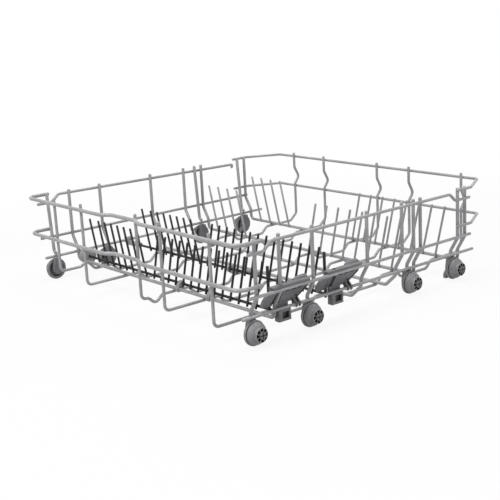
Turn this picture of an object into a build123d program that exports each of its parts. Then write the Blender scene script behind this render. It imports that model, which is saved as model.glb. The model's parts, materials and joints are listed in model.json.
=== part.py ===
# Lower basket of a dishwasher: bent coated wire on eight wheels, with two fold-down plate racks.
# Millimetres. X runs across (+X is the right side), Y from front (-) to back (+), Z up from the floor.
from build123d import *
import math
import os

# Wire stock
wire_d = 4.5          # coated wire of the long floor wires and most rails
side_d = 5.2          # cross wires and side posts
rail_d = 5.6          # the two front rails
tine_d = 3.4          # tines of the racks and the fixed rows
wire_sides = 8        # flats on a wire's section, which keeps the area of the round wire
bend_step_turn = 46.0 # most degrees that one mitred step of a bend turns
wire_bend_r = 8.0     # centre-line radius of most bends
cut_over = 1.0        # how far a cut runs past the face it opens

# Side walls
side_wire_x = 256.5   # upright wires of the side wall
foot_wire_x = 243.0   # the same wires below the waist
waist_top_z = 65.0    # the slope inwards starts here
waist_low_z = 43.0    # and ends here
side_top_z = 142.0    # upper ends of the side wires
upper_rail_drop = 6.0 # upper rails below the side wires' ends
upper_dip = 11.3      # drop of the upper rail's ends
upper_ramp_run = 13.0
upper_dip_margin = 11.0
waist_rail_z = 68.0
base_rail_z = 38.0
upper_rail_front = 16.0  # rail ends ahead of the front posts
waist_rail_front = 16.0
base_rail_front = 18.5
upper_rail_back = 6.0    # rail ends behind the rear cross wire
waist_rail_back = 8.0
base_rail_back = 31.0

# Floor
cross_high_z = 25.5   # cross wires on the raised floor
cross_low_z = 14.5    # cross wires in the dips
cross_low_x = 224.0   # low cross wires slope down to here
cross_low_start_z = 32.0
front_cross_behind = 41.0   # cross wires from the wheels beside them
third_cross_ahead = 25.0
fourth_cross_behind = 15.0
rear_cross_behind = 17.0
second_cross_behind = 60.0  # behind the rear rack's bar
long_wire_x = (-185.0, -107.0, 22.0, 93.0, 201.0)
step_run = 12.0        # length of each slope between floor levels
rear_high_ahead = 13.0   # raised floor kept ahead of the rear cross wire
row_high_behind = 7.0    # raised floor around the fourth cross wire
row_high_ahead = 24.0
rack_high_behind = 39.0  # raised floor behind the rear rack's bar
rack_high_start = 11.0
front_high_behind = 26.0  # raised floor behind the front cross wire
rear_chamfer_run = 15.0
rear_chamfer_rise = 12.5

# Front and back walls
wall_over_side = 5.0  # long wires end this far above the side wires
front_wall_y = -255.5
rear_wall_y = 252.0
kink_depth = 10.3     # outward kink of the back wall
kink_top_z = 120.0
kink_mid_z = 101.5
kink_low_z = 89.0
front_upper_drop = 8.0   # upper rails below the long wires' ends
rear_upper_drop = 7.7
front_lower_z = 81.5
rear_lower_z = 84.5
rear_corner_x = 229.0      # the rear corners are cut off from here
rear_corner_behind = 9.0   # to this far behind the rear cross wire
front_tail = 7.0           # front rails end behind the front posts
front_bend_r = 16.0        # wider bends of the front rails
rear_tail = 7.0            # rear rails end ahead of the rear posts
recess_depth = 10.0        # handle recess of the front wall
recess_left_x = -46.0
recess_left_run = 14.0
recess_right_x = 52.0
recess_right_run = 24.0
hump_wire_index = 0        # long wire with a hump near the front
hump_start = 6.0           # behind which the hump rises ahead of the front cross wire
hump_rise = 14.5
hump_run = 14.0
hump_fall = 12.0
hump_rest_z = 29.0
notch_wire_index = 2       # long wire in the handle recess, with a notch near the front
notch_start = 22.0
notch_half = 12.5
notch_depth = 11.0

# Fixed tine rows
row_lean = 14.0        # degrees away from upright
row_tine_len = 86.0
row_foot_drop = 1.5    # tine feet below the cross wire's centre
row_pitch = 25.5
row_right_x = 23.5
row_right_count = 8
row_left_x = -133.0
row_left_count = 4

# Fold-down racks
bar_d = 4.0
bar_z = 33.0
bar_behind = 5.5        # front rack's bar behind the front cross wire
rack_spacing = 97.5     # from the front rack's bar to the rear one
rear_rack_shift = 6.0   # the rear rack sits further right
rack_lean = 15.0        # degrees away from upright
rack_tine_len = 72.6
rack_foot_drop = 4.0    # tine feet below the bar's centre
rack_pitch = 18.0
rack_right_x = -31.1
rack_right_count = 14
rack_left_x = -49.5
rack_left_count = 7
rack_end_gap = 25.0     # wider gap before the last tine on the left
lever_d = 4.2
lever_x = 231.0
lever_len = 65.0
bar_gap = 0.05          # running clearance round the bar
clip_gap = 0.15         # clearance of moulded clips on wires
bar_left_x = -226.0

# Wheels and carriers
wheel_r = 17.2
wheel_sides = 20         # flats on a wheel's turned faces
wheel_first_y = -228.0
wheel_pair_pitch = 100.0
wheel_axle_span = 301.0  # from the first wheel of the front pair to that of the rear pair
wheel_inner_x = 247.0
wheel_w = 17.0
flange_w = 3.4
body_r = 15.4            # body beside the flange
body_w = 12.6
shoulder_in = 4.6        # slope from the body to the hub
shoulder_w = 3.8
hub_r = 10.0             # straight hub at the outer end
recess_out_r = 13.2      # ring-shaped hollow of the inner face
recess_in_r = 7.4
recess_deep = 5.0
axle_r = 3.5
axle_gap = 0.1
head_r = 4.9
head_w = 2.0
side_gap = 0.3           # end clearance of the wheels
slot_count = 8
spoke_w = 1.3            # wall between two slots of the hub
slot_in_r = 5.3
slot_out_r = 8.6
slot_deep = 6.0
split_w = 1.4            # slots between the fingers of the snap axle
split_deep = 6.0
carrier_w = 7.5
carrier_boss_r = 8.0
carrier_neck_w = 10.0
post_end_z = 24.0
stop_ahead = 10.0        # stop lug of the rear carriers, ahead of the axle
stop_low_z = 2.5
stop_len = 6.0
stop_h = 7.0
stop_w = 5.5

# Right-hand rack holders
holder_ahead = 29.0      # reach ahead of the bar
holder_len = 78.0
holder_thick = 4.0
holder_corner_r = 5.0
holder_wing_r = 13.0     # rounded lower corner at the front
holder_cut = 17.0        # slanting end at the back
trough_w = 9.0           # hollow along the upright wire
trough_deep = 2.2
hook_w = 2.6             # two hooks over the base rail
hook_pitch = 6.0
hook_from_end = 22.0
hook_wall = 2.0
ledge_top_z = 73.4
ledge_out = 1.2          # ledge past the waist rail's centre
ledge_inset = 7.0
window_r = 2.2
window_from_end = 20.0
window_up = 8.0
boss_r = 5.0
boss_len = 22.0
boss_from_end = 4.0
boss_bore_r = 2.8
boss_bore_len = 12.0
boss_x = 249.5
boss_z = 71.5
boss_nose_len = 9.0
boss_nose_in = 2.6       # slope of the nose
boss_sides = 12
socket_inner_x = 240.0
socket_outer_x = 249.0
socket_wall = 3.5
socket_ahead = 3.0       # socket edge ahead of the bar
socket_w = 21.0
socket_low_z = 20.0
socket_top_z = 46.0
socket_front_side = 6.0  # walls beside the opening
socket_back_side = 3.0
socket_h = 9.0
bearing_len = 4.5
holder_rail_gap = 0.25

# Left bearings and hinge clips
disc_r = 13.0
disc_sides = 24
disc_w = 12.0
disc_face_x = -218.0
disc_slot_w = 2.2
disc_slot_deep = 7.0
disc_slot_pitch = 6.0
arm_w = 7.0
arm_h = 7.0
arm_clip_w = 12.0
arm_clip_wall = 2.2
clip_eye_r = 4.4
clip_w = 7.0
front_clip_gap_index = (3, 7)  # tine gaps of the right group that hold a clip
rear_clip_w = 8.0
foot_ahead = 12.0         # from the bar to the foot of the rear clip
foot_len = 12.0
foot_wall = 2.4
snap_w = 3.4              # mouth of a snap-on channel
snap_depth = 1.0          # how far the rear clip's foot reaches past the wire's centre


def flat_half(diameter):
    # Half the width across flats of the polygon with the round wire's area
    return diameter / 2 * math.sqrt(math.pi / (wire_sides * math.tan(math.pi / wire_sides)))


def weld(first_d, second_d):
    # Centre distance of two wires welded side by side
    return flat_half(first_d) + flat_half(second_d)


def bend(points, radius):
    # Each corner becomes a few mitred steps round a tangent arc
    corners = [Vector(*point) for point in points]
    route = [corners[0]]
    for before, corner, after in zip(corners, corners[1:], corners[2:]):
        inward = (corner - before).normalized()
        outward = (after - corner).normalized()
        degrees = inward.get_angle(outward)
        steps = math.ceil(degrees / bend_step_turn)
        turn = math.radians(degrees)
        centre = corner + (outward - inward).normalized() * (radius / math.cos(turn / 2))
        start = corner - inward * (radius * math.tan(turn / 2))
        spoke = (start - centre).normalized()
        reach = radius / math.cos(turn / 2 / steps)
        for step in range(steps):
            angle = turn * (step + 0.5) / steps
            route.append(centre + (spoke * math.cos(angle) + inward * math.sin(angle)) * reach)
    route.append(corners[-1])
    return route


def bent_wire(points, diameter, side, radius=wire_bend_r):
    # A wire along a flat route, with flats of its section towards the given side
    route = bend(points, radius)
    start = Plane(origin=route[0], x_dir=side, z_dir=route[1] - route[0])
    section = RegularPolygon(flat_half(diameter), wire_sides, major_radius=False, rotation=180 / wire_sides)
    return sweep(start * section, path=Polyline(*route), transition=Transition.RIGHT)


def fat(diameter):
    # Channel size for a wire held by a moulded clip
    return diameter + 2 * clip_gap


def on_both_sides(shape):
    return {"right": shape, "left": mirror(shape, Plane.YZ)}


def save(name, shape):
    export_step(shape, "parts/" + name + ".step")


# Places that follow from the sizes above
wheel_y = {
    "front": wheel_first_y,
    "front_inner": wheel_first_y + wheel_pair_pitch,
    "rear_inner": wheel_first_y + wheel_axle_span,
    "rear": wheel_first_y + wheel_axle_span + wheel_pair_pitch,
}
front_cross_y = wheel_y["front"] + front_cross_behind
front_bar_y = front_cross_y + bar_behind
rear_bar_y = front_bar_y + rack_spacing
second_cross_y = rear_bar_y + second_cross_behind
third_cross_y = wheel_y["rear_inner"] - third_cross_ahead
fourth_cross_y = wheel_y["rear_inner"] + fourth_cross_behind
rear_cross_y = wheel_y["rear"] + rear_cross_behind
upper_rail_z = side_top_z - upper_rail_drop
wall_top_z = side_top_z + wall_over_side
front_upper_z = wall_top_z - front_upper_drop
rear_upper_z = wall_top_z - rear_upper_drop
side_rail_x = side_wire_x + weld(side_d, wire_d)
base_rail_x = foot_wire_x + weld(side_d, wire_d)
front_rail_y = front_wall_y - weld(wire_d, rail_d)
rear_rail_y = rear_wall_y + weld(wire_d, wire_d)
floor_high_z = cross_high_z - weld(wire_d, side_d)
floor_low_z = cross_low_z - weld(wire_d, side_d)
across = (1, 0, 0)
along = (0, 1, 0)
upright = (0, 0, 1)


# Long floor wires
def floor_route():
    # Profile of the back wall and the stepped floor, as (y, z)
    rear_high = rear_cross_y - rear_high_ahead
    row_back = fourth_cross_y + row_high_behind
    row_front = fourth_cross_y - row_high_ahead
    rack_back = rear_bar_y + rack_high_behind
    rack_front = rear_bar_y + rack_high_start
    front_high = front_cross_y + front_high_behind
    return [
        (rear_wall_y, wall_top_z),
        (rear_wall_y, kink_top_z),
        (rear_wall_y + kink_depth, kink_mid_z),
        (rear_wall_y, kink_low_z),
        (rear_wall_y, floor_high_z + rear_chamfer_rise),
        (rear_wall_y - rear_chamfer_run, floor_high_z),
        (rear_high, floor_high_z),
        (rear_high - step_run, floor_low_z),
        (row_back + step_run, floor_low_z),
        (row_back, floor_high_z),
        (row_front, floor_high_z),
        (row_front - step_run, floor_low_z),
        (rack_back + step_run, floor_low_z),
        (rack_back, floor_high_z),
        (rack_front, floor_high_z),
        (rack_front - step_run, floor_low_z),
        (front_high + step_run, floor_low_z),
        (front_high, floor_high_z),
    ]


def front_route(number):
    # Profile of the front end, as (y, z)
    if number == hump_wire_index:
        foot = front_cross_y - hump_start
        top = foot - hump_run
        return [
            (foot, floor_high_z),
            (top, floor_high_z + hump_rise),
            (top - hump_fall, hump_rest_z),
            (front_wall_y, hump_rest_z),
            (front_wall_y, wall_top_z),
        ]
    if number == notch_wire_index:
        foot = front_cross_y - notch_start
        wall = front_wall_y + recess_depth
        return [
            (foot, floor_high_z),
            (foot - notch_half, floor_high_z - notch_depth),
            (foot - 2 * notch_half, floor_high_z),
            (wall, floor_high_z),
            (wall, wall_top_z),
        ]
    return [(front_wall_y, floor_high_z), (front_wall_y, wall_top_z)]


def long_wire(number, diameter):
    x = long_wire_x[number]
    profile = floor_route() + front_route(number)
    return bent_wire([(x, y, z) for y, z in profile], diameter, across)


# Cross wires and posts
def side_route():
    # Profile of a side wire from its top to below the waist, as (x, z)
    return [(side_wire_x, side_top_z), (side_wire_x, waist_top_z), (foot_wire_x, waist_low_z)]


def cross_wire(y, level, diameter):
    if level == "high":
        half = side_route() + [(foot_wire_x, cross_high_z)]
    else:
        half = side_route() + [(foot_wire_x, cross_low_start_z), (cross_low_x, cross_low_z)]
    route = [(x, y, z) for x, z in half] + [(-x, y, z) for x, z in reversed(half)]
    return bent_wire(route, diameter, along)


def post(y, diameter):
    half = side_route() + [(foot_wire_x, post_end_z)]
    return bent_wire([(x, y, z) for x, z in half], diameter, along)


cross_wires = {
    "front": (front_cross_y, "high"),
    "second": (second_cross_y, "low"),
    "third": (third_cross_y, "low"),
    "fourth": (fourth_cross_y, "high"),
    "rear": (rear_cross_y, "high"),
}


# Rails
def upper_rail():
    front_end = wheel_y["front"] - upper_rail_front
    front_dip = wheel_y["front"] + upper_dip_margin
    rear_dip = wheel_y["rear"] - upper_dip_margin
    rear_end = rear_cross_y + upper_rail_back
    low_z = upper_rail_z - upper_dip
    profile = [
        (front_end, low_z),
        (front_dip, low_z),
        (front_dip + upper_ramp_run, upper_rail_z),
        (rear_dip - upper_ramp_run, upper_rail_z),
        (rear_dip, low_z),
        (rear_end, low_z),
    ]
    return bent_wire([(side_rail_x, y, z) for y, z in profile], wire_d, across)


def straight_rail(x, z, front_reach, back_reach):
    front_end = wheel_y["front"] - front_reach
    rear_end = rear_cross_y + back_reach
    return bent_wire([(x, front_end, z), (x, rear_end, z)], wire_d, across)


def front_rail(z):
    side_x = side_wire_x + weld(side_d, rail_d)
    end_y = wheel_y["front"] + front_tail
    recess_y = front_rail_y + recess_depth
    outline = [
        (-side_x, end_y),
        (-side_x, front_rail_y),
        (recess_left_x, front_rail_y),
        (recess_left_x + recess_left_run, recess_y),
        (recess_right_x - recess_right_run, recess_y),
        (recess_right_x, front_rail_y),
        (side_x, front_rail_y),
        (side_x, end_y),
    ]
    return bent_wire([(x, y, z) for x, y in outline], rail_d, upright, front_bend_r)


def rear_rail(z):
    end_y = wheel_y["rear"] - rear_tail
    cut_y = rear_cross_y + rear_corner_behind
    half = [(side_rail_x, end_y), (side_rail_x, cut_y), (rear_corner_x, rear_rail_y)]
    outline = half + [(-x, y) for x, y in reversed(half)]
    return bent_wire([(x, y, z) for x, y in outline], wire_d, upright)


# Tines
def leaning_tine(x, y, foot_z, length, degrees):
    lean = math.radians(degrees)
    top = (x + length * math.sin(lean), y, foot_z + length * math.cos(lean))
    return bent_wire([(x, y, foot_z), top], tine_d, along)


def fixed_row(cross_y):
    y = cross_y - weld(side_d, tine_d)
    foot_z = cross_high_z - row_foot_drop
    right = [leaning_tine(row_right_x + row_pitch * step, y, foot_z, row_tine_len, row_lean)
             for step in range(row_right_count)]
    left = [leaning_tine(row_left_x - row_pitch * step, y, foot_z, row_tine_len, -row_lean)
            for step in range(row_left_count)]
    return Compound(right + left)


def rack_tines(bar_y, shift):
    y = bar_y - bar_d / 2 - flat_half(tine_d)
    foot_z = bar_z - rack_foot_drop
    left_x = [rack_left_x - rack_pitch * step for step in range(rack_left_count)]
    left_x.append(left_x[-1] - rack_end_gap)
    right_x = [rack_right_x + rack_pitch * step for step in range(rack_right_count)]
    left = [leaning_tine(x + shift, y, foot_z, rack_tine_len, -rack_lean) for x in left_x]
    right = [leaning_tine(x + shift, y, foot_z, rack_tine_len, rack_lean) for x in right_x]
    return Compound(left + right)


def rack_bar(bar_y, shift):
    # Round bar from the left bearing into the right-hand holder
    left = bar_left_x + shift
    right = socket_inner_x + bearing_len
    return Pos(left, bar_y, bar_z) * Rot(0, 90, 0) * extrude(Circle(bar_d / 2), right - left)


def rack_lever(bar_y, shift):
    y = bar_y - bar_d / 2 - flat_half(lever_d)
    x = lever_x + shift
    foot_z = bar_z - rack_foot_drop
    return bent_wire([(x, y, foot_z), (x, y, foot_z + lever_len)], lever_d, along)


# Wheels and their carriers
def across_plane(x, y, z):
    # Sketch plane facing right, with its X along the basket
    return Plane(origin=(x, y, z), x_dir=along, z_dir=across)


def turned(radius, sides):
    # Section of a turned face, with flats that touch the round
    return RegularPolygon(radius, sides, major_radius=False, rotation=180 / sides)


def wheel(y):
    inside = across_plane(0, 0, 0)
    body = extrude(inside * turned(body_r, wheel_sides), body_w)
    outer_face = body.faces().sort_by(Axis.X)[-1]
    body = chamfer(outer_face.edges(), shoulder_in, shoulder_w, reference=outer_face)
    body += extrude(inside * turned(wheel_r, wheel_sides), flange_w)
    body += extrude(inside * turned(hub_r, wheel_sides), wheel_w)
    recess = turned(recess_out_r, wheel_sides) - turned(recess_in_r, wheel_sides)
    body -= extrude(inside * recess, recess_deep)
    body -= extrude(inside * Circle(axle_r + axle_gap), wheel_w)
    half_turn = math.pi / slot_count
    in_half = slot_in_r * math.tan(half_turn) - spoke_w / 2
    out_half = slot_out_r * math.tan(half_turn) - spoke_w / 2
    slot = make_face(Polyline((slot_in_r, -in_half), (slot_out_r, -out_half), (slot_out_r, out_half),
                              (slot_in_r, in_half), close=True))
    for step in range(slot_count):
        body -= extrude(across_plane(wheel_w, 0, 0) * Rot(0, 0, 360 / slot_count * step) * slot, -slot_deep)
    return Pos(wheel_inner_x, y, wheel_r) * body


def carrier(y, has_stop):
    inner_x = wheel_inner_x - side_gap - carrier_w
    sketch_plane = across_plane(inner_x, y, 0)
    top_z = base_rail_z - flat_half(wire_d) - holder_rail_gap
    boss = Pos(0, wheel_r) * turned(carrier_boss_r, wire_sides)
    neck = Pos(0, (wheel_r + top_z) / 2) * Rectangle(carrier_neck_w, top_z - wheel_r)
    body = extrude(sketch_plane * make_hull((boss + neck).edges()), carrier_w)
    if has_stop:
        lug = Pos(-stop_ahead, stop_low_z + stop_h / 2) * Rectangle(stop_len, stop_h)
        arm = Pos(0, wheel_r) * Rectangle(stop_len, stop_h)
        body += extrude(sketch_plane * make_hull((lug + arm).edges()), stop_w)
    axle_plane = across_plane(inner_x + carrier_w, y, wheel_r)
    head_x = side_gap + wheel_w + side_gap
    body += extrude(axle_plane * Circle(axle_r), head_x)
    body += extrude(axle_plane.offset(head_x) * turned(head_r, wire_sides), head_w)
    split_x = inner_x + carrier_w + head_x + head_w - split_deep / 2
    for size in ((split_w, 2 * head_r), (2 * head_r, split_w)):
        body -= Pos(split_x, y, wheel_r) * Box(split_deep, *size)
    channel = bent_wire([(foot_wire_x, y, post_end_z - clip_gap), (foot_wire_x, y, waist_low_z)],
                        fat(side_d), along)
    return body - channel


# Shared cuts of the moulded pieces
def bar_hole(bar_y, from_x, to_x):
    return extrude(across_plane(from_x, bar_y, bar_z) * Circle(bar_d / 2 + bar_gap), to_x - from_x)


def box_between(low, high):
    # Box given by two opposite corners
    size = [b - a for a, b in zip(low, high)]
    middle = [(a + b) / 2 for a, b in zip(low, high)]
    return Pos(*middle) * Box(*size)


# Right-hand rack holders
def holder_panel(front_y, wire_y):
    # Sloping panel behind the bent wires, with a hollow along the wire that crosses it
    slope = Vector(side_wire_x - foot_wire_x, 0, waist_top_z - waist_low_z)
    plane = Plane(origin=(foot_wire_x, front_y, waist_low_z), x_dir=along, z_dir=Vector(*along).cross(slope))
    height = slope.length
    outline = FilletPolyline(
        (0, 0), (holder_len - holder_cut, 0), (holder_len, height), (0, height),
        radius=[holder_corner_r, holder_corner_r, holder_corner_r, holder_wing_r], close=True)
    body = extrude(plane * make_face(outline), -holder_thick)
    window = Pos(holder_len - window_from_end, window_up) * turned(window_r, wire_sides)
    body -= extrude(plane * window, holder_thick, both=True)
    trough = Pos(wire_y - front_y, height / 2) * Rectangle(trough_w, height + 2 * cut_over)
    return body - extrude(plane * trough, trough_deep, both=True)


def holder_hook(y):
    # Hook from the panel's lower edge over the base rail
    plane = Plane(origin=(0, y + hook_w / 2, 0), x_dir=across, z_dir=(0, -1, 0))
    eye = Pos(base_rail_x, base_rail_z) * turned(flat_half(wire_d) + hook_wall, wire_sides)
    root = Pos(foot_wire_x, waist_low_z + hook_wall) * Rectangle(holder_thick, 2 * hook_wall)
    body = extrude(plane * make_hull((eye + root).edges()), hook_w)
    mouth = Pos(base_rail_x, base_rail_z - wire_d) * Rectangle(snap_w, 2 * wire_d)
    body -= extrude(plane * mouth, hook_w)
    return body - bent_wire([(base_rail_x, y - hook_w, base_rail_z), (base_rail_x, y + hook_w, base_rail_z)],
                            fat(wire_d), across)


def holder(bar_y):
    front_y = bar_y - holder_ahead
    back_y = front_y + holder_len
    wire_y = bar_y - bar_behind
    body = holder_panel(front_y, wire_y)
    band_x = side_wire_x - holder_thick
    ledge_low_z = waist_rail_z + flat_half(wire_d) + holder_rail_gap
    ledge_front = front_y + ledge_inset
    ledge_back = back_y - ledge_inset
    body += box_between((band_x, ledge_front, waist_top_z), (side_wire_x, ledge_back, ledge_top_z))
    ledge_x = side_rail_x + ledge_out
    body += box_between((band_x, ledge_front, ledge_low_z), (ledge_x, ledge_back, ledge_top_z))
    boss_plane = Plane(origin=(boss_x, back_y - boss_from_end, boss_z), x_dir=across, z_dir=along)
    boss = extrude(boss_plane * turned(boss_r, boss_sides), -boss_len)
    nose_face = boss.faces().sort_by(Axis.Y)[0]
    body += chamfer(nose_face.edges(), boss_nose_in, boss_nose_len, reference=nose_face)
    body -= extrude(boss_plane * turned(boss_bore_r, boss_sides), -boss_bore_len)
    socket_front = bar_y - socket_ahead
    socket_back = socket_front + socket_w
    rail_under_z = base_rail_z - flat_half(wire_d) - holder_rail_gap
    wall_x = socket_inner_x + socket_wall
    socket_corner = (socket_inner_x, socket_front, socket_low_z)
    body += box_between(socket_corner, (wall_x, socket_back, socket_top_z))
    body += box_between(socket_corner, (socket_outer_x, socket_back, rail_under_z))
    opening_z = socket_low_z + socket_wall
    body -= box_between((wall_x, socket_front + socket_front_side, opening_z),
                        (socket_outer_x + cut_over, socket_back - socket_back_side, opening_z + socket_h))
    for step in range(2):
        body += holder_hook(back_y - hook_from_end + hook_pitch * step)
    body -= bar_hole(bar_y, socket_inner_x - cut_over, socket_inner_x + bearing_len + side_gap)
    body -= cross_wire(wire_y, "high", fat(side_d))
    for y in wheel_y.values():
        body -= post(y, fat(side_d))
    return body


# Left bearings
def disc_bearing():
    # Round housing on the front cross wire
    plane = across_plane(disc_face_x - disc_w, front_bar_y, bar_z)
    body = extrude(plane * turned(disc_r, disc_sides), disc_w)
    for side in (-1, 1):
        slot_y = disc_slot_pitch * side
        slot = Pos(slot_y, disc_r) * Rectangle(disc_slot_w, 2 * disc_slot_deep)
        body -= extrude(plane * slot, disc_w)
    mouth = box_between((disc_face_x - disc_w, front_cross_y - snap_w / 2, bar_z - disc_r),
                        (disc_face_x, front_cross_y + snap_w / 2, cross_high_z))
    body = body - mouth - cross_wire(front_cross_y, "high", fat(side_d))
    return body - bar_hole(front_bar_y, bar_left_x - side_gap, disc_face_x + cut_over)


def arm_bearing():
    # Arm from a clip on the left base rail to the rear bar
    face_x = disc_face_x + rear_rack_shift
    clip_half = flat_half(wire_d) + arm_clip_wall
    clip = Pos(-base_rail_x, rear_bar_y, base_rail_z) * Box(2 * clip_half, arm_clip_w, 2 * clip_half)
    arm = box_between((-base_rail_x, rear_bar_y - arm_w / 2, bar_z - arm_h / 2),
                      (face_x, rear_bar_y + arm_w / 2, bar_z + arm_h / 2))
    mouth = box_between((-base_rail_x - clip_half, rear_bar_y - arm_clip_w / 2, base_rail_z - snap_w / 2),
                        (-base_rail_x, rear_bar_y + arm_clip_w / 2, base_rail_z + snap_w / 2))
    rail = bent_wire([(-base_rail_x, rear_bar_y - arm_clip_w, base_rail_z),
                      (-base_rail_x, rear_bar_y + arm_clip_w, base_rail_z)], fat(wire_d), across)
    body = clip + arm - mouth - rail
    return body - bar_hole(rear_bar_y, bar_left_x + rear_rack_shift - side_gap, face_x + cut_over)


# Hinge clips
def front_clip(gap):
    # Clip between the front bar and the front cross wire, midway between two tines
    foot_shift = rack_foot_drop * math.tan(math.radians(rack_lean))
    x = rack_right_x + rack_pitch * (gap + 0.5) + foot_shift
    plane = across_plane(x - clip_w / 2, 0, 0)
    eye = turned(clip_eye_r, wire_sides)
    eyes = Pos(front_bar_y, bar_z) * eye + Pos(front_cross_y, cross_high_z) * eye
    body = extrude(plane * make_hull(eyes.edges()), clip_w)
    mouth = box_between((x - clip_w / 2, front_cross_y - snap_w / 2, cross_high_z - clip_eye_r),
                        (x + clip_w / 2, front_cross_y + snap_w / 2, cross_high_z))
    body = body - mouth - cross_wire(front_cross_y, "high", fat(side_d))
    return body - bar_hole(front_bar_y, x - clip_w, x + clip_w)


def rear_clip():
    # Clip between the rear bar and the raised floor of one long wire
    x = long_wire_x[notch_wire_index]
    plane = across_plane(x - rear_clip_w / 2, 0, 0)
    foot_top_z = floor_high_z + flat_half(wire_d) + foot_wall
    foot_low_z = floor_high_z - snap_depth
    foot_mid_y = rear_bar_y + foot_ahead + foot_len / 2
    foot = Pos(foot_mid_y, (foot_top_z + foot_low_z) / 2) * Rectangle(foot_len, foot_top_z - foot_low_z)
    eye = turned(clip_eye_r, wire_sides)
    body = extrude(plane * make_hull((Pos(rear_bar_y, bar_z) * eye + foot).edges()), rear_clip_w)
    body -= long_wire(notch_wire_index, fat(wire_d))
    return body - bar_hole(rear_bar_y, x - rear_clip_w, x + rear_clip_w)


os.makedirs("parts", exist_ok=True)

for number in range(len(long_wire_x)):
    save("long_wire_" + str(number + 1), long_wire(number, wire_d))
for place, (y, level) in cross_wires.items():
    save(place + "_cross_wire", cross_wire(y, level, side_d))
for place, y in wheel_y.items():
    for side, shape in on_both_sides(post(y, side_d)).items():
        save(place + "_post_" + side, shape)
    for side, shape in on_both_sides(wheel(y)).items():
        save(place + "_wheel_" + side, shape)
    for side, shape in on_both_sides(carrier(y, place == "rear")).items():
        save(place + "_carrier_" + side, shape)
waist_rail = straight_rail(side_rail_x, waist_rail_z, waist_rail_front, waist_rail_back)
base_rail = straight_rail(base_rail_x, base_rail_z, base_rail_front, base_rail_back)
for name, rail in (("upper_rail", upper_rail()), ("waist_rail", waist_rail), ("base_rail", base_rail)):
    for side, shape in on_both_sides(rail).items():
        save(name + "_" + side, shape)
save("front_upper_rail", front_rail(front_upper_z))
save("front_lower_rail", front_rail(front_lower_z))
save("rear_upper_rail", rear_rail(rear_upper_z))
save("rear_lower_rail", rear_rail(rear_lower_z))
save("middle_tine_row", fixed_row(fourth_cross_y))
save("rear_tine_row", fixed_row(rear_cross_y))
for place, bar_y, shift in (("front", front_bar_y, 0), ("rear", rear_bar_y, rear_rack_shift)):
    save(place + "_rack_tines", rack_tines(bar_y, shift))
    save(place + "_rack_bar", rack_bar(bar_y, shift))
    save(place + "_rack_lever", rack_lever(bar_y, shift))
    save(place + "_rack_holder", holder(bar_y))
save("front_rack_left_bearing", disc_bearing())
save("rear_rack_left_bearing", arm_bearing())
for number, gap in enumerate(front_clip_gap_index):
    save("front_rack_clip_" + str(number + 1), front_clip(gap))
save("rear_rack_clip", rear_clip())
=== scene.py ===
import bpy
import bmesh
import json
import math
from mathutils import Matrix, Vector

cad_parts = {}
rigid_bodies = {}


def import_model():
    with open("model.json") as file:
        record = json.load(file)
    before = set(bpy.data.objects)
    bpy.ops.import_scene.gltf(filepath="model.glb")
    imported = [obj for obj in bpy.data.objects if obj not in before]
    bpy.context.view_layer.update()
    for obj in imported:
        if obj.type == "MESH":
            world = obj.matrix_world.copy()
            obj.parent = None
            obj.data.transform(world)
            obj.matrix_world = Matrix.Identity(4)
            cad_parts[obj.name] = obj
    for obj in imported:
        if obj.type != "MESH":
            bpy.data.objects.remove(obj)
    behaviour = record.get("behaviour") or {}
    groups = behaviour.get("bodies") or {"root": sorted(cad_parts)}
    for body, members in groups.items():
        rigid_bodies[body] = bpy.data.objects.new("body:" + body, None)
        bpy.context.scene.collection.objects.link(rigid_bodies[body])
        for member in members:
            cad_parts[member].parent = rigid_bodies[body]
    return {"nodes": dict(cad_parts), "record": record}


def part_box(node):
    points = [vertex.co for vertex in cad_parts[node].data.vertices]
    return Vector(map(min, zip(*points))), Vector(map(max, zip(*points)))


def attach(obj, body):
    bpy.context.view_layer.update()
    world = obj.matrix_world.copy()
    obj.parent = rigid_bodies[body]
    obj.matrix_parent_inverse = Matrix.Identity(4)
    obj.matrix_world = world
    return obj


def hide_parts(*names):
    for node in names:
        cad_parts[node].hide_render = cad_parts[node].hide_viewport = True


for leftover in list(bpy.data.objects):  # start from an empty file
    bpy.data.objects.remove(leftover)
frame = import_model()
bpy.context.view_layer.update()
bodyOf = {node: body for body, nodes in frame["record"]["behaviour"]["bodies"].items() for node in nodes}
slotOf = {part["node"]: part["material_slot"] for part in frame["record"]["subparts"]}
milli = 0.001  # the frame is in metres
print("frame loaded with", len(frame["nodes"]), "pieces")


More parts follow.
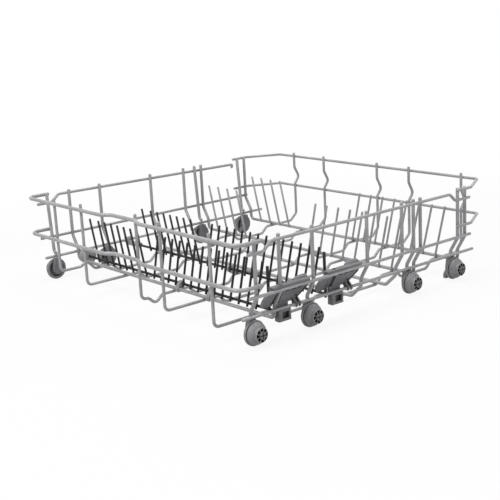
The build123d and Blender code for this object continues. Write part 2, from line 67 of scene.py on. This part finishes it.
class Sock:  # a node socket that can be calculated with
    def __init__(self, tree, socket):
        self.tree, self.socket = tree, socket

    def node(self, kind, settings, values, out=0):
        made = self.tree.nodes.new(kind)
        for name, value in settings.items():
            setattr(made, name, value)
        for key, value in values.items():
            if isinstance(value, Sock):
                self.tree.links.new(value.socket, made.inputs[key])
            else:
                made.inputs[key].default_value = value
        return Sock(self.tree, made.outputs[out] if made.outputs else None)

    def math(self, operation, first, second):
        return self.node("ShaderNodeMath", {"operation": operation}, {0: first, 1: second})

    def __add__(self, other):
        return self.math("ADD", self, other)

    def __radd__(self, other):
        return self.math("ADD", other, self)

    def __sub__(self, other):
        return self.math("SUBTRACT", self, other)

    def __rsub__(self, other):
        return self.math("SUBTRACT", other, self)

    def __mul__(self, other):
        return self.math("MULTIPLY", self, other)

    def __rmul__(self, other):
        return self.math("MULTIPLY", other, self)

    def noise(self, scale, detail=2.0, rough=0.5):
        return self.node("ShaderNodeTexNoise", {"noise_dimensions": "3D"},
                         {"Vector": self, "Scale": scale, "Detail": detail, "Roughness": rough})

    def ramp(self, low, high):  # 0 below low, 1 above high
        return self.node("ShaderNodeMapRange", {"interpolation_type": "SMOOTHSTEP"},
                         {"Value": self, "From Min": low, "From Max": high})

    def mixed(self, dark, light):  # colour between two, by this value
        return self.node("ShaderNodeMix", {"data_type": "RGBA"}, {0: self, 6: dark, 7: light}, out=2)


def startMaterial(name):
    material = bpy.data.materials.new(name)
    material.use_nodes = True
    material.node_tree.nodes.clear()
    coords = material.node_tree.nodes.new("ShaderNodeTexCoord")
    return material, Sock(material.node_tree, coords.outputs["Object"])


def finishMaterial(place, color, rough, height, depth, constants):
    bump = place.node("ShaderNodeBump", {}, {"Height": height, "Distance": depth, "Strength": 1.0})
    sockets = {"Base Color": color, "Roughness": rough, "Normal": bump}
    sockets.update(constants)
    shader = place.node("ShaderNodeBsdfPrincipled", {}, sockets)
    place.node("ShaderNodeOutputMaterial", {}, {"Surface": shader})


def attributeOf(place, name):
    return place.node("ShaderNodeAttribute", {"attribute_name": name}, {}, out=2)


# dipped coating on the wires: slight orange peel, thicker and glossier beside the welds
greyCoat = {"dark": (0.226, 0.226, 0.234, 1), "light": (0.312, 0.312, 0.321, 1),
            "rough": 0.33, "coat": 0.25, "shine": 0.5}
blackCoat = {"dark": (0.007, 0.007, 0.008, 1), "light": (0.014, 0.014, 0.016, 1),
             "rough": 0.44, "coat": 0.05, "shine": 0.32}
coatGrain = {"drift": 34.0, "peel": 620.0, "specks": 2600.0, "height": 0.00012, "glaze": 0.22}


def coatMaterial(name, look):
    material, place = startMaterial(name)
    drift = place.noise(coatGrain["drift"], 3.0, 0.55)  # slow change of shade along a wire
    peel = place.noise(coatGrain["peel"], 2.0, 0.5)     # orange peel of the dip
    specks = place.noise(coatGrain["specks"], 1.0, 0.4).ramp(0.66, 0.74)
    pooled = attributeOf(place, "weldNear")
    shade = drift.ramp(0.28, 0.72) * 0.75 + peel * 0.25 - pooled * 0.22 - specks * 0.15
    rough = look["rough"] + drift * 0.16 - pooled * 0.10 + specks * 0.12
    height = peel * 0.7 + drift * 0.6 + specks * 0.15
    finishMaterial(place, shade.mixed(look["dark"], look["light"]), rough, height, coatGrain["height"],
                   {"IOR": 1.5, "Specular IOR Level": look["shine"], "Coat Weight": look["coat"],
                    "Coat Roughness": coatGrain["glaze"]})
    return material


# moulded plastic: fine spark texture, faint flow marks, paler rubbed edges, and painted shade that darkens
# the hollows
# each look's hollow colour is painted shade for the recesses, not a colour of the plastic itself
darkMould = {"dark": (0.102, 0.103, 0.108, 1), "light": (0.150, 0.151, 0.157, 1),
             "edge": (0.30, 0.30, 0.305, 1), "hollow": (0.010, 0.010, 0.011, 1),
             "rough": 0.50, "reach": 0.010, "shut": (0.28, 0.86)}
wheelMould = {"dark": (0.165, 0.166, 0.171, 1), "light": (0.215, 0.216, 0.222, 1),
              "edge": (0.31, 0.31, 0.315, 1), "hollow": (0.012, 0.012, 0.013, 1),
              "rough": 0.46, "reach": 0.006, "shut": (0.20, 0.86)}
lightMould = {"dark": (0.215, 0.215, 0.219, 1), "light": (0.290, 0.290, 0.295, 1),
              "edge": (0.40, 0.40, 0.405, 1), "hollow": (0.035, 0.035, 0.037, 1),
              "rough": 0.44, "reach": 0.005, "shut": (0.12, 0.80)}
mouldGrain = {"flow": 90.0, "stretch": (1.0, 0.25, 1.0), "grain": 2300.0, "scuff": 260.0, "height": 0.00010}


def mouldMaterial(name, look):
    material, place = startMaterial(name)
    along = place.node("ShaderNodeMapping", {}, {"Vector": place, "Scale": mouldGrain["stretch"]})
    flow = along.noise(mouldGrain["flow"], 4.0, 0.6)
    grain = place.noise(mouldGrain["grain"], 2.0, 0.6)
    scuff = place.noise(mouldGrain["scuff"], 5.0, 0.7).ramp(0.56, 0.70)
    edge = attributeOf(place, "edgeRub") * (0.35 + 0.65 * scuff)
    # painted shade: the more closed in a spot is (local occlusion), the darker it is painted, towards the
    # hollow colour
    free = place.node("ShaderNodeAmbientOcclusion", {"samples": 8, "only_local": True},
                      {"Distance": look["reach"]}, out=1)
    deep = 1 - free.ramp(*look["shut"])
    shade = flow.ramp(0.3, 0.7) * 0.8 + grain * 0.2
    color = edge.mixed(shade.mixed(look["dark"], look["light"]), look["edge"])
    color = deep.mixed(color, look["hollow"])
    rough = look["rough"] + grain * 0.14 + scuff * 0.08 - edge * 0.12 + deep * 0.15
    height = grain * 0.6 + flow * 0.8 + scuff * 0.2
    finishMaterial(place, color, rough, height, mouldGrain["height"], {"IOR": 1.49})
    return material


materials = {
    "grey_wire": coatMaterial("greyDippedCoating", greyCoat),
    "black_wire": coatMaterial("blackDippedCoating", blackCoat),
    "dark_plastic": mouldMaterial("darkMouldedPlastic", darkMould),
    "light_plastic": mouldMaterial("lightMouldedPlastic", lightMould),
    "wheel_plastic": mouldMaterial("wheelMouldedPlastic", wheelMould),
}
print("materials made:", ", ".join(sorted(materials)))


def startTree(name, inputs):  # a geometry tree with named inputs
    tree = bpy.data.node_groups.new(name, "GeometryNodeTree")
    tree.interface.new_socket("Geometry", in_out="INPUT", socket_type="NodeSocketGeometry")
    for label, kind in inputs:
        tree.interface.new_socket(label, in_out="INPUT", socket_type="NodeSocket" + kind)
    tree.interface.new_socket("Geometry", in_out="OUTPUT", socket_type="NodeSocketGeometry")
    entry = tree.nodes.new("NodeGroupInput")
    return tree, {socket.name: Sock(tree, socket) for socket in entry.outputs if socket.name}


def endTree(mesh, material):  # realize, give the material, hand out
    real = mesh.node("GeometryNodeRealizeInstances", {}, {"Geometry": mesh})
    dressed = real.node("GeometryNodeSetMaterial", {}, {"Geometry": real, "Material": material})
    dressed.node("NodeGroupOutput", {}, {"Geometry": dressed})


def growMesh(name, source, tree, values):  # run the tree on a mesh and keep the result as a plain piece
    piece = bpy.data.objects.new(name, source)
    bpy.context.scene.collection.objects.link(piece)
    grow = piece.modifiers.new("grow", "NODES")
    grow.node_group = tree
    for item in tree.interface.items_tree:
        if item.in_out == "INPUT" and item.name in values:
            grow[item.identifier] = values[item.name]
    seen = piece.evaluated_get(bpy.context.evaluated_depsgraph_get())
    result = bpy.data.meshes.new_from_object(seen)
    piece.modifiers.remove(grow)
    piece.data = result
    bpy.data.meshes.remove(source)
    result.name = name
    return piece


def stand(piece, node):  # the piece takes over this node and its body
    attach(piece, bodyOf[node])
    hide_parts(node)


def shadeAndStand(mesh, node, ending, crease):  # smooth but for its creases, in its node's place
    for face in mesh.faces:
        face.smooth = True
    for edge in mesh.edges:
        edge.smooth = len(edge.link_faces) == 2 and edge.calc_face_angle() < crease
    result = bpy.data.meshes.new(node + ending)
    mesh.to_mesh(result)
    mesh.free()
    result.materials.append(materials[slotOf[node]])
    piece = bpy.data.objects.new(node + ending, result)
    bpy.context.scene.collection.objects.link(piece)
    stand(piece, node)


# Wires. Each wire's line is read back from its ring corners in the frame, then bent round and swept
wire = {"sides": 18, "bendRadius": 0.008, "frontBendRadius": 0.016, "bendSteps": 6, "corners": 8,
        "cornerJoin": 2e-5, "ringJoin": 2e-5,  # doubled points closer than this become one
        "tip": ((0.0, 0.42), (0.10, 0.68), (0.32, 0.90), (0.65, 1.0))}  # radii from the end, scale


def islandsOf(mesh):
    left = set(mesh.verts)
    while left:
        found, edge = set(), {next(iter(left))}
        while edge:
            found |= edge
            edge = {e.other_vert(v) for v in edge for e in v.link_edges} - found
        left -= found
        yield found


def layersFrom(ring):
    seen = set()
    while ring:
        yield ring
        seen |= ring
        ring = {e.other_vert(v) for v in ring for e in v.link_edges} - seen


def linesOf(node):  # (points, radius) of every wire in a node
    mesh = bmesh.new()
    mesh.from_mesh(frame["nodes"][node].data)
    bmesh.ops.remove_doubles(mesh, verts=mesh.verts, dist=wire["cornerJoin"])
    mesh.verts.index_update()
    lines = []
    for island in islandsOf(mesh):
        first = min(island, key=lambda v: v.index)
        end = min(list(layersFrom({first}))[-1], key=lambda v: v.index)  # a corner of an end face
        ring = set(sorted(island, key=lambda v: (v.co - end.co).length)[:wire["corners"]])
        points = [sum((v.co for v in layer), Vector()) / len(layer) for layer in layersFrom(ring)]
        reach = sum((v.co - points[0]).length for v in ring) / len(ring)
        area = wire["corners"] / 2 * reach ** 2 * math.sin(2 * math.pi / wire["corners"])
        lines.append((points, math.sqrt(area / math.pi)))
    mesh.free()
    return sorted(lines, key=lambda line: tuple(line[0][0]))


wireNodes = [node for node in sorted(frame["nodes"]) if slotOf[node] in ("grey_wire", "black_wire")
             and not node.endswith("_rack_bar")]
wireLines = {node: linesOf(node) for node in wireNodes}
for node in ("front_rack_bar", "rear_rack_bar"):  # the round bars run straight from face to face
    low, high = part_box(node)
    middle = (low + high) / 2
    ends = [Vector((x, middle.y, middle.z)) for x in (low.x, high.x)]
    wireLines[node] = [(ends, (high.z - low.z) / 2)]
print("wire lines read:", sum(len(lines) for lines in wireLines.values()))


def nearest(a, b, c, d):  # closest points of two straight runs
    along, across, gap = b - a, d - c, a - c
    aa, cc, ac = along.dot(along), across.dot(across), along.dot(across)
    room = aa * cc - ac * ac
    s = 0.5 if room < 1e-12 else min(1, max(0, (ac * across.dot(gap) - cc * along.dot(gap)) / room))
    t = min(1, max(0, (ac * s + across.dot(gap)) / cc))
    s = min(1, max(0, (ac * t - along.dot(gap)) / aa))
    return a + along * s, c + across * t


weld = {"reach": 0.00035, "apart": 0.004, "fade": 0.009,
        "wide": 0.92, "thick": 0.50, "segments": 10, "rings": 6}


def apart(a, b, c, d, reach):  # whether two straight runs' boxes stay clear of each other
    return any(min(a[k], b[k]) - reach > max(c[k], d[k]) or min(c[k], d[k]) - reach > max(a[k], b[k])
               for k in range(3))


def weldsOf(nodes):  # place, direction from wire to wire, run of the first wire and radius of each meeting
    runs = [(node, a, b, radius) for node in nodes for points, radius in wireLines[node]
            for a, b in zip(points, points[1:])]
    found = []
    for number, (node, a, b, radius) in enumerate(runs):
        for other, c, d, width in runs[number + 1:]:
            if other == node:
                continue
            touch = radius + width + weld["reach"]
            if apart(a, b, c, d, touch):
                continue
            p, q = nearest(a, b, c, d)
            middle = (p + q) / 2
            alone = all((middle - spot).length > weld["apart"] for spot, *rest in found)
            if alone and (q - p).length < touch:
                place = p.lerp(q, radius / (radius + width))
                found.append((place, (q - p).normalized(), (b - a).normalized(), min(radius, width)))
    return found


bodyWires = {}
for node in wireLines:
    bodyWires.setdefault(bodyOf[node], []).append(node)
bodyWelds = {body: weldsOf(nodes) for body, nodes in bodyWires.items()}
print("welds found:", {body: len(spots) for body, spots in bodyWelds.items()})


def wireTree():
    tree, given = startTree("roundWire", [("Wire Radius", "Float"), ("Bend Radius", "Float"),
                                          ("Bend Steps", "Int"), ("Sides", "Int"), ("Finish", "Material")])
    line = given["Geometry"].node("GeometryNodeMeshToCurve", {}, {"Mesh": given["Geometry"]})
    bent = line.node("GeometryNodeFilletCurve", {"mode": "POLY"},
                     {"Curve": line, "Count": given["Bend Steps"], "Radius": given["Bend Radius"],
                      "Limit Radius": True})
    tip = bent.node("GeometryNodeInputNamedAttribute", {"data_type": "FLOAT"}, {"Name": "tipScale"})
    ring = bent.node("GeometryNodeCurvePrimitiveCircle", {},
                     {"Resolution": given["Sides"], "Radius": given["Wire Radius"]})
    tube = bent.node("GeometryNodeCurveToMesh", {},
                     {"Curve": bent, "Profile Curve": ring, "Scale": tip, "Fill Caps": True})
    clean = tube.node("GeometryNodeMergeByDistance", {}, {"Geometry": tube, "Distance": wire["ringJoin"]})
    smooth = clean.node("GeometryNodeSetShadeSmooth", {}, {"Geometry": clean, "Shade Smooth": True})
    endTree(smooth, given["Finish"])
    return tree


def tipPoints(end, following, radius):  # closer points where a wire's end is rounded, with their scales
    inwards = (following - end).normalized() * radius
    return [(end + inwards * step, scale) for step, scale in wire["tip"]]


def lineMesh(name, lines):  # lines as loose edges
    points, edges, scales = [], [], []
    for line, radius in lines:
        route = tipPoints(line[0], line[1], radius)
        route += [(point, 1.0) for point in line[1:-1]]
        route += reversed(tipPoints(line[-1], line[-2], radius))
        start = len(points)
        points += [point for point, scale in route]
        scales += [scale for point, scale in route]
        edges += [(k, k + 1) for k in range(start, len(points) - 1)]
    mesh = bpy.data.meshes.new(name)
    mesh.from_pydata(points, edges, [])
    mesh.attributes.new("tipScale", "FLOAT", "POINT").data.foreach_set("value", scales)
    return mesh


def markWelds(piece, spots):  # how near each point is to a weld, for the pooled coating
    near = piece.data.attributes.new("weldNear", "FLOAT", "POINT")
    values = []
    for vertex in piece.data.vertices:
        gap = min(((vertex.co - spot).length for spot, *rest in spots), default=1.0)
        values.append(max(0.0, 1 - gap / weld["fade"]))
    near.data.foreach_set("value", values)


roundWire = wireTree()
for node, lines in wireLines.items():
    bend = wire["bendRadius"]
    if node in ("front_upper_rail", "front_lower_rail"):
        bend = wire["frontBendRadius"]
    elif all(len(points) == 2 for points, radius in lines):  # straight
        bend = 0.0
    tube = growMesh(node + "_tube", lineMesh(node + "_line", lines), roundWire,
                    {"Wire Radius": lines[0][1], "Bend Radius": bend, "Bend Steps": wire["bendSteps"],
                     "Sides": wire["sides"], "Finish": materials[slotOf[node]]})
    markWelds(tube, bodyWelds[bodyOf[node]])
    stand(tube, node)
print("wires swept:", len(wireLines))


# Coating that fills the crotch of each weld
def weldTree():
    tree, given = startTree("weldBeads", [("Wide", "Float"), ("Thick", "Float"), ("Segments", "Int"),
                                          ("Rings", "Int"), ("Finish", "Material")])
    spots = given["Geometry"].node("GeometryNodeMeshToPoints", {}, {"Mesh": given["Geometry"]})
    facing = spots.node("GeometryNodeInputNamedAttribute", {"data_type": "FLOAT_VECTOR"}, {"Name": "facing"})
    run = spots.node("GeometryNodeInputNamedAttribute", {"data_type": "FLOAT_VECTOR"}, {"Name": "run"})
    size = spots.node("GeometryNodeInputNamedAttribute", {"data_type": "FLOAT"}, {"Name": "size"})
    turn = facing.node("FunctionNodeAlignRotationToVector", {"axis": "Z"}, {"Vector": facing})
    turn = turn.node("FunctionNodeAlignRotationToVector", {"axis": "X", "pivot_axis": "Z"},
                     {"Rotation": turn, "Vector": run})
    wide = size * given["Wide"]
    scale = size.node("ShaderNodeCombineXYZ", {}, {"X": wide, "Y": wide, "Z": size * given["Thick"]})
    bead = spots.node("GeometryNodeMeshUVSphere", {},
                      {"Segments": given["Segments"], "Rings": given["Rings"], "Radius": 1.0})
    placed = spots.node("GeometryNodeInstanceOnPoints", {},
                        {"Points": spots, "Instance": bead, "Rotation": turn, "Scale": scale})
    smooth = placed.node("GeometryNodeSetShadeSmooth", {}, {"Geometry": placed, "Shade Smooth": True})
    endTree(smooth, given["Finish"])
    return tree


weldBeads = weldTree()
for body, spots in bodyWelds.items():
    mesh = bpy.data.meshes.new(body + "_weld_spots")
    mesh.from_pydata([spot for spot, *rest in spots], [], [])
    for label, column in (("facing", 1), ("run", 2)):
        values = [number for spot in spots for number in spot[column]]
        mesh.attributes.new(label, "FLOAT_VECTOR", "POINT").data.foreach_set("vector", values)
    mesh.attributes.new("size", "FLOAT", "POINT").data.foreach_set("value", [spot[3] for spot in spots])
    slot = slotOf[bodyWires[body][0]]
    beads = growMesh(body + "_weld_beads", mesh, weldBeads,
                     {"Wide": weld["wide"], "Thick": weld["thick"], "Segments": weld["segments"],
                      "Rings": weld["rings"], "Finish": materials[slot]})
    markWelds(beads, spots)
    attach(beads, body)
print("weld beads placed")


# Hollows moulded into the holders' sloping panels, beside the upright wire, under the rail and at the back
panel = {"outwards": 0.5, "downwards": 0.1, "level": 1e-4,  # which faces make up the panel's outside
         "deep": 3.0, "over": 1.0,  # millimetres; each outline runs along the panel, then up it
         "hollows": [((14.5, 2.5), (20.4, 2.5), (20.4, 21), (17.5, 21)),
                     ((26.6, 2.5), (29.6, 2.5), (29.6, 21), (26.6, 21)),
                     ((59, 3), (61.2, 3), (73.4, 21.5), (69.6, 21.5))],
         "slotStarts": (33, 44, 55), "slotLong": 8, "slotUp": (22, 24)}
for start in panel["slotStarts"]:
    end, (low, high) = start + panel["slotLong"], panel["slotUp"]
    panel["hollows"].append(((start, low), (end, low), (end, high), (start, high)))


def hollowPrisms(solid):  # cutters standing on the largest face that looks outwards and down
    along, groups = Vector((0, 1, 0)), {}
    for face in solid.polygons:
        if face.normal.x > panel["outwards"] and -face.normal.z > panel["downwards"]:
            groups.setdefault(tuple(round(part, 2) for part in face.normal), []).append(face)
    faces = max(groups.values(), key=lambda group: sum(face.area for face in group))
    outward = faces[0].normal.copy()
    up = outward.cross(along)
    spots = [solid.vertices[k].co for face in faces for k in face.vertices]
    level = max(spot.dot(outward) for spot in spots)
    outer = [spot for spot in spots if level - spot.dot(outward) < panel["level"]]
    lowest = min(spot.dot(up) for spot in outer)
    origin = along * min(spot.y for spot in outer) + up * lowest + outward * level
    points, sides = [], []
    for outline in panel["hollows"]:
        first, count = len(points), len(outline)
        for lift in (-panel["deep"], panel["over"]):
            points += [origin + (along * u + up * v + outward * lift) * milli for u, v in outline]
        below = list(range(first, first + count))
        above = list(range(first + count, first + 2 * count))
        sides += [below[::-1], above]
        for k in range(count):
            following = (k + 1) % count
            sides.append((below[k], below[following], above[following], above[k]))
    cutter = bpy.data.meshes.new("hollowPrisms")
    cutter.from_pydata(points, [], sides)
    return cutter


def hollowed(node):  # the holder's solid with the hollows cut out
    solid = frame["nodes"][node].data
    piece = bpy.data.objects.new(node + "_whole", solid)
    tool = bpy.data.objects.new(node + "_hollows", hollowPrisms(solid))
    for item in (piece, tool):
        bpy.context.scene.collection.objects.link(item)
    cut = piece.modifiers.new("cut", "BOOLEAN")
    cut.operation, cut.solver, cut.object = "DIFFERENCE", "EXACT", tool
    result = bpy.data.meshes.new_from_object(piece.evaluated_get(bpy.context.evaluated_depsgraph_get()))
    bpy.data.objects.remove(piece)
    bpy.data.objects.remove(tool)
    return result


# Moulded pieces keep their solid's shape, with broken edges
mould = {"edge": 0.0003, "steps": 2, "profile": 0.6, "join": 2e-5,
         "sharp": math.radians(28), "flat": math.radians(0.4), "crease": math.radians(32)}


def mouldedCopy(node):
    mesh = bmesh.new()
    mesh.from_mesh(hollowed(node) if node.endswith("_rack_holder") else frame["nodes"][node].data)
    rubbed = mesh.faces.layers.float.new("edgeRub")
    bmesh.ops.remove_doubles(mesh, verts=mesh.verts, dist=mould["join"])
    bmesh.ops.dissolve_limit(mesh, angle_limit=mould["flat"], verts=mesh.verts, edges=mesh.edges)
    sharp = [edge for edge in mesh.edges
             if len(edge.link_faces) == 2 and edge.calc_face_angle() > mould["sharp"]]
    made = bmesh.ops.bevel(mesh, geom=sharp, offset=mould["edge"], segments=mould["steps"],
                           profile=mould["profile"], affect="EDGES", clamp_overlap=True)
    for face in made["faces"]:
        face[rubbed] = 1.0
    shadeAndStand(mesh, node, "_moulded", mould["crease"])


mouldNodes = [node for node in sorted(frame["nodes"]) if slotOf[node] in ("dark_plastic", "light_plastic")]
for node in mouldNodes:
    mouldedCopy(node)
print("moulded pieces finished:", len(mouldNodes))


# Wheels are turned, with a ring-shaped hollow inside and eight hollows round the hub
wheelTurn = {"segments": 64, "hollows": 8, "hollowDeep": 6.0, "crease": math.radians(32),
             "profile": (  # millimetres from the inner face, radius, rubbed edge after this point
                 (0.25, 3.6, 1), (0, 3.85, 0), (0, 7.15, 1), (0.25, 7.4, 0), (5, 7.4, 0), (5, 13.2, 0),
                 (0.25, 13.2, 1), (0, 13.45, 0), (0, 16.6, 1), (0.2, 17.0, 1), (0.6, 17.2, 0), (2.8, 17.2, 1),
                 (3.2, 17.0, 1), (3.4, 16.6, 0), (3.4, 14.6, 0), (4.3, 14.6, 0), (4.6, 15.35, 0),
                 (6.4, 15.25, 0), (8.1, 14.8, 0), (9.5, 13.95, 0), (10.9, 12.7, 0), (12.0, 11.4, 0),
                 (12.5, 10.6, 0), (12.7, 10.15, 0), (13.0, 10.0, 0), (16.6, 10.0, 1), (16.9, 9.85, 1),
                 (17, 9.6, 0), (17, 9.1, 0), (17, 4.9, 0), (17, 3.9, 1), (16.7, 3.6, 0)),
             "hollowFrom": (17, 9.1, 0)}


def turnedWheel(node):
    low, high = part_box(node)
    middle = (low + high) / 2
    outward = milli if middle.x > 0 else -milli
    face = low.x if middle.x > 0 else high.x
    count = wheelTurn["segments"]
    sector = count // wheelTurn["hollows"]
    mesh = bmesh.new()
    rubbed = mesh.faces.layers.float.new("edgeRub")
    rings = []
    for step, radius, rub in wheelTurn["profile"]:
        turns = [2 * math.pi * k / count for k in range(count)]
        rings.append([mesh.verts.new((face + outward * step, middle.y + milli * radius * math.cos(turn),
                                      middle.z + milli * radius * math.sin(turn))) for turn in turns])
    hollows = []
    for number, spot in enumerate(wheelTurn["profile"]):
        ring, following = rings[number], rings[(number + 1) % len(rings)]
        for k in range(count):
            beside = (k + 1) % count
            quad = mesh.faces.new((ring[k], ring[beside], following[beside], following[k]))
            quad[rubbed] = spot[2]
            if spot == wheelTurn["hollowFrom"] and (k + sector // 2 - 1) % sector < sector - 2:
                hollows.append(quad)
    bmesh.ops.recalc_face_normals(mesh, faces=mesh.faces)
    pushed = bmesh.ops.extrude_face_region(mesh, geom=hollows)["geom"]
    inwards = Vector((-outward * wheelTurn["hollowDeep"], 0, 0))
    corners = [item for item in pushed if isinstance(item, bmesh.types.BMVert)]
    bmesh.ops.translate(mesh, vec=inwards, verts=corners)
    bmesh.ops.delete(mesh, geom=hollows, context="FACES")  # the lids that the push leaves behind
    shadeAndStand(mesh, node, "_turned", wheelTurn["crease"])


wheelNodes = [node for node in sorted(frame["nodes"]) if slotOf[node] == "wheel_plastic"]
for node in wheelNodes:
    turnedWheel(node)
print("wheels turned:", len(wheelNodes))


# Camera at the photograph's place
camera = {"azimuth": 50.16, "elevation": 14.14, "roll": -3.06, "place": (1.2059, -1.0266, 0.4408),
          "lens": 73.86, "sensor": 36, "near": 0.05, "far": 50}


def aim(azimuth, elevation, roll):
    a, e, r = (math.radians(angle) for angle in (azimuth, elevation, roll))
    back = Vector((math.sin(a) * math.cos(e), -math.cos(a) * math.cos(e), math.sin(e)))
    right = Vector((math.cos(a), math.sin(a), 0))
    up = back.cross(right)
    turned = right * math.cos(r) + up * math.sin(r)
    return Matrix((turned, back.cross(turned), back)).transposed()


lens = bpy.data.cameras.new("photoCamera")
lens.lens, lens.sensor_width = camera["lens"], camera["sensor"]
lens.clip_start, lens.clip_end = camera["near"], camera["far"]
shot = bpy.data.objects.new("photoCamera", lens)
facing = aim(camera["azimuth"], camera["elevation"], camera["roll"])
shot.matrix_world = Matrix.Translation(camera["place"]) @ facing.to_4x4()
bpy.context.scene.collection.objects.link(shot)
bpy.context.scene.camera = shot
print("camera placed")


# Pale floor that fades into a white surround, and soft studio lamps
studio = {"floorHalf": 6.0, "floorColor": (0.60, 0.60, 0.60, 1), "fade": (0.45, 1.1), "showWhite": 0.90,
          "ambient": 0.36}
lamps = {  # place, aim, size, watts
    "keyLamp": ((0.1, -1.7, 1.8), (0, 0, 0.05), 1.2, 38),
    "fillLamp": ((1.9, 0.2, 1.0), (0, 0, 0.05), 1.6, 12),
    "topLamp": ((-0.3, 0.4, 2.2), (0, 0, 0.05), 1.4, 34),
}


def seenDirectly(tree):  # 1 on rays from the camera or a mirroring surface
    rays = tree.nodes.new("ShaderNodeLightPath").outputs
    kinds = [Sock(tree, rays[name]) for name in ("Is Camera Ray", "Is Glossy Ray", "Is Transmission Ray")]
    return kinds[0] + kinds[1] + kinds[2]


def floorMaterial():
    material, place = startMaterial("paleFloor")
    away = place.node("ShaderNodeVectorMath", {"operation": "LENGTH"}, {0: place}, out=1)
    away = away.ramp(*studio["fade"])
    seen = seenDirectly(place.tree)
    white = place.node("ShaderNodeEmission", {}, {"Color": (1, 1, 1, 1), "Strength": 1.0})
    matt = place.node("ShaderNodeBsdfDiffuse", {}, {"Color": studio["floorColor"]})
    share = seen * (studio["showWhite"] + (1 - studio["showWhite"]) * away)
    both = place.node("ShaderNodeMixShader", {}, {0: share, 1: matt, 2: white})
    place.node("ShaderNodeOutputMaterial", {}, {"Surface": both})
    return material


def makeFloor():
    half = studio["floorHalf"]
    mesh = bpy.data.meshes.new("paleFloor")
    corners = [(-half, -half, 0), (half, -half, 0), (half, half, 0), (-half, half, 0)]
    mesh.from_pydata(corners, [], [(0, 1, 2, 3)])
    mesh.materials.append(floorMaterial())
    floor = bpy.data.objects.new("paleFloor", mesh)
    bpy.context.scene.collection.objects.link(floor)


def makeWorld():
    world = bpy.data.worlds.new("whiteSurround")
    world.use_nodes = True
    world.node_tree.nodes.clear()
    seen = seenDirectly(world.node_tree)
    strength = studio["ambient"] + (1 - studio["ambient"]) * seen
    glow = seen.node("ShaderNodeBackground", {}, {"Color": (1, 1, 1, 1), "Strength": strength})
    glow.node("ShaderNodeOutputWorld", {}, {"Surface": glow})
    bpy.context.scene.world = world


def makeLamps():
    for name, (place, target, size, watts) in lamps.items():
        light = bpy.data.lights.new(name, "AREA")
        light.shape, light.size, light.energy = "DISK", size, watts
        lamp = bpy.data.objects.new(name, light)
        lamp.location = place
        lamp.rotation_euler = (Vector(target) - Vector(place)).to_track_quat("-Z", "Y").to_euler()
        bpy.context.scene.collection.objects.link(lamp)


makeFloor()
makeWorld()
makeLamps()
bpy.context.scene.view_settings.view_transform = "Standard"
print("studio lit")

bpy.context.view_layer.update()
